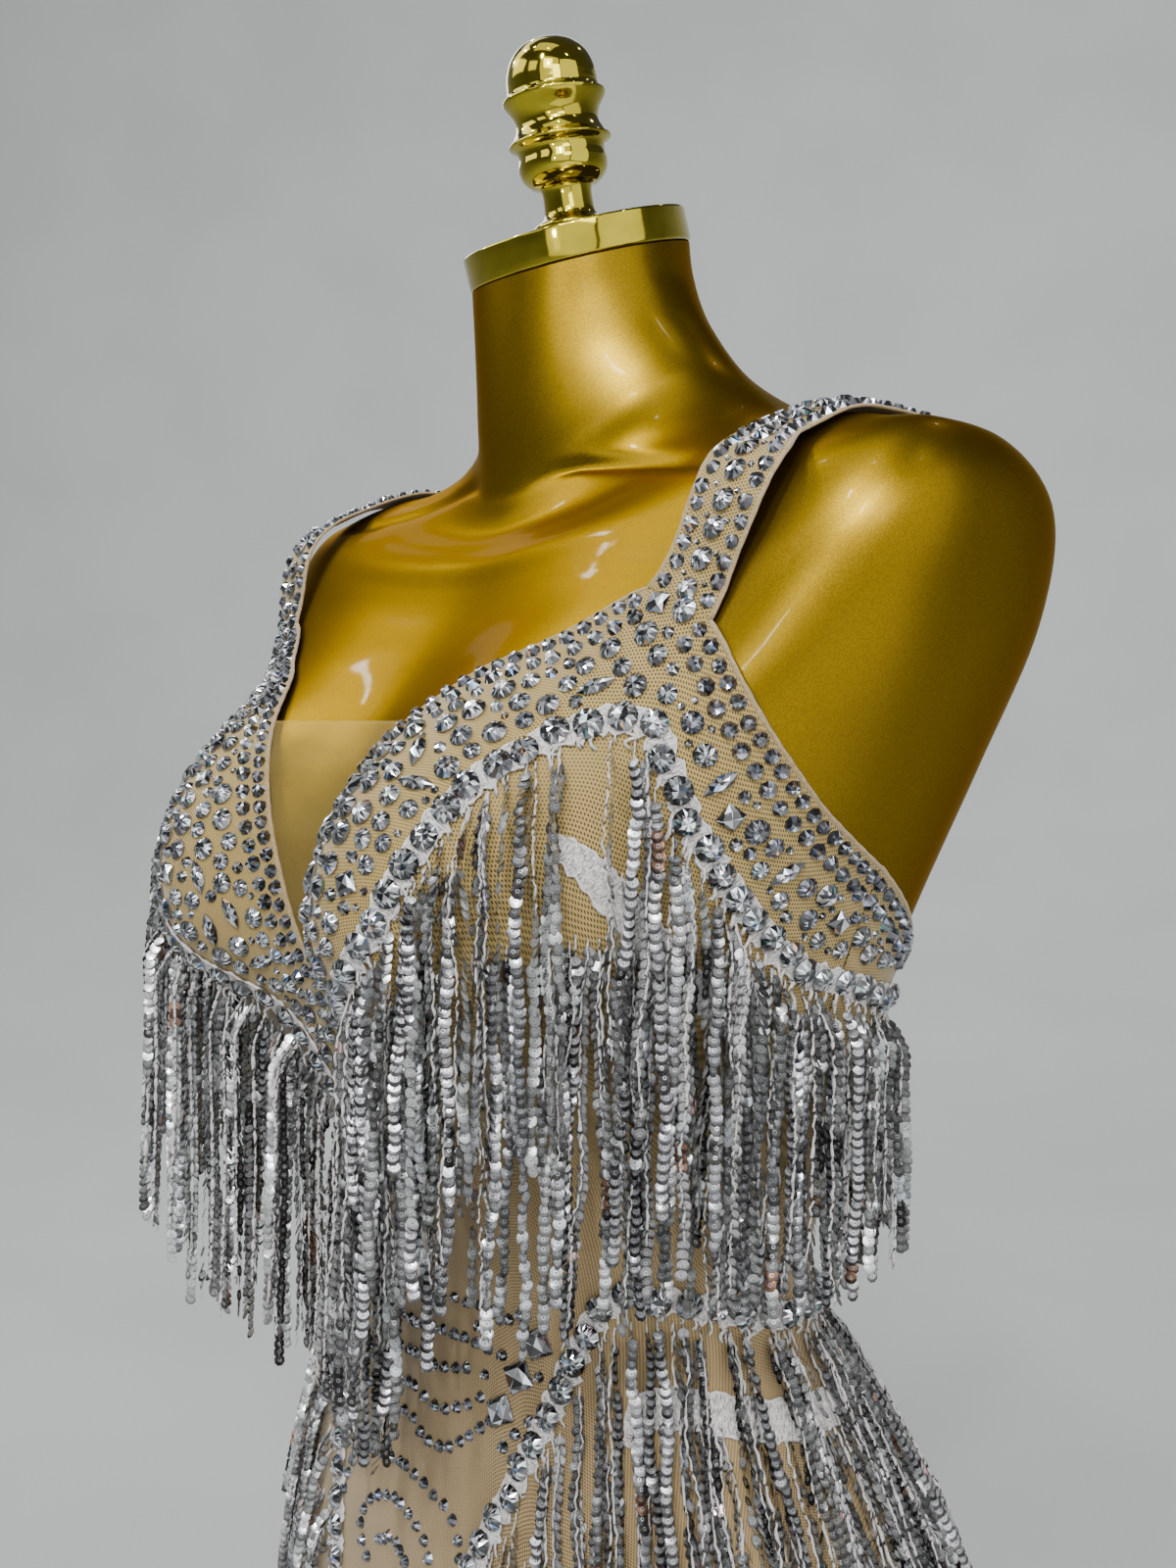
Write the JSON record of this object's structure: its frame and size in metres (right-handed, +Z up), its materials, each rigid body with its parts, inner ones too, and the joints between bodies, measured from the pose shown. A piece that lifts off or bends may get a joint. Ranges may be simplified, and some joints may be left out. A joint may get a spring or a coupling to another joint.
{
  "type": "rhinestone fringe bodysuit on a dress form",
  "caption": "Stretch mesh bodysuit with plunge neckline, set stones, lace appliques and sequin fringe, worn on a limbless metallic dress form that stands on two flat leg ends.",
  "frame": {"origin": "centre of the box on the surface that the two leg ends stand on", "axes": "+Z up through the neck, -Y out of the front of the garment, +X to the form's left side"},
  "size_m": [0.395, 0.3091, 0.8235],
  "materials": {
    "form_gold": "satin metallic gold paint under a gloss clear coat",
    "form_brass": "polished",
    "power_mesh": "fine knitted stretch mesh, matt, with a folded edge",
    "sheer_mesh": "sheer stretch tulle, matt",
    "lace_white": "corded satin-stitch embroidery, soft sheen",
    "sequin_silver": "metallised cup sequins on twisted thread, mirror gloss",
    "stone_clear": "faceted, foil backed",
    "stone_grey": "faceted, dark foil backed",
    "thread_white": "twisted fuzzy thread, matt"
  },
  "bodies": {
    "root": {"form_torso": "form_gold", "form_neck_cap": "form_brass", "form_finial": "form_brass", "bodysuit_front": "power_mesh", "bodysuit_back": "power_mesh", "plunge_insert": "sheer_mesh", "strap_left": "power_mesh", "strap_right": "power_mesh", "crotch_gusset": "power_mesh", "lace_cup_left": "lace_white", "lace_cup_right": "lace_white", "lace_band_left": "lace_white", "lace_band_right": "lace_white", "lace_hip_left": "lace_white", "lace_hip_right": "lace_white", "lace_curl_left": "lace_white", "lace_curl_right": "lace_white", "fringe_bust_left": "sequin_silver", "fringe_bust_right": "sequin_silver", "fringe_hip_left": "sequin_silver", "fringe_hip_right": "sequin_silver"}
  },
  "joints": []
}
